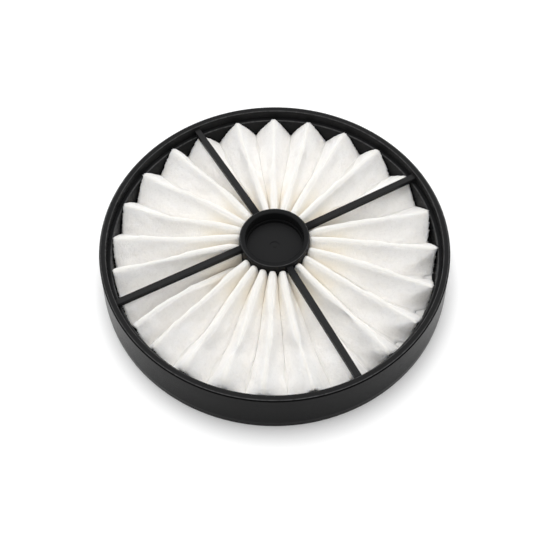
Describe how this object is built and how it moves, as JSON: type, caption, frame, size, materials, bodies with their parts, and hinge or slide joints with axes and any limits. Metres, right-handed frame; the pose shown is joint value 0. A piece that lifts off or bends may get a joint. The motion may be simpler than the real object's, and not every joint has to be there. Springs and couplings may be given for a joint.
{
  "type": "pleated vacuum filter",
  "caption": "Round drop-in vacuum cleaner filter: black moulded ring with spokes and a cupped hub around a white nonwoven sheet folded into radial pleats",
  "frame": {"origin": "middle of the face the ring rests on", "axes": "+Z is the filter's axis, pointing out of the side with the spokes; the picture was taken from -Y"},
  "size_m": [0.153, 0.153, 0.0238],
  "materials": {
    "frame_plastic": "satin",
    "nonwoven": "matte"
  },
  "bodies": {
    "root": {"filter_frame": "frame_plastic", "pleated_media": "nonwoven"}
  },
  "joints": []
}
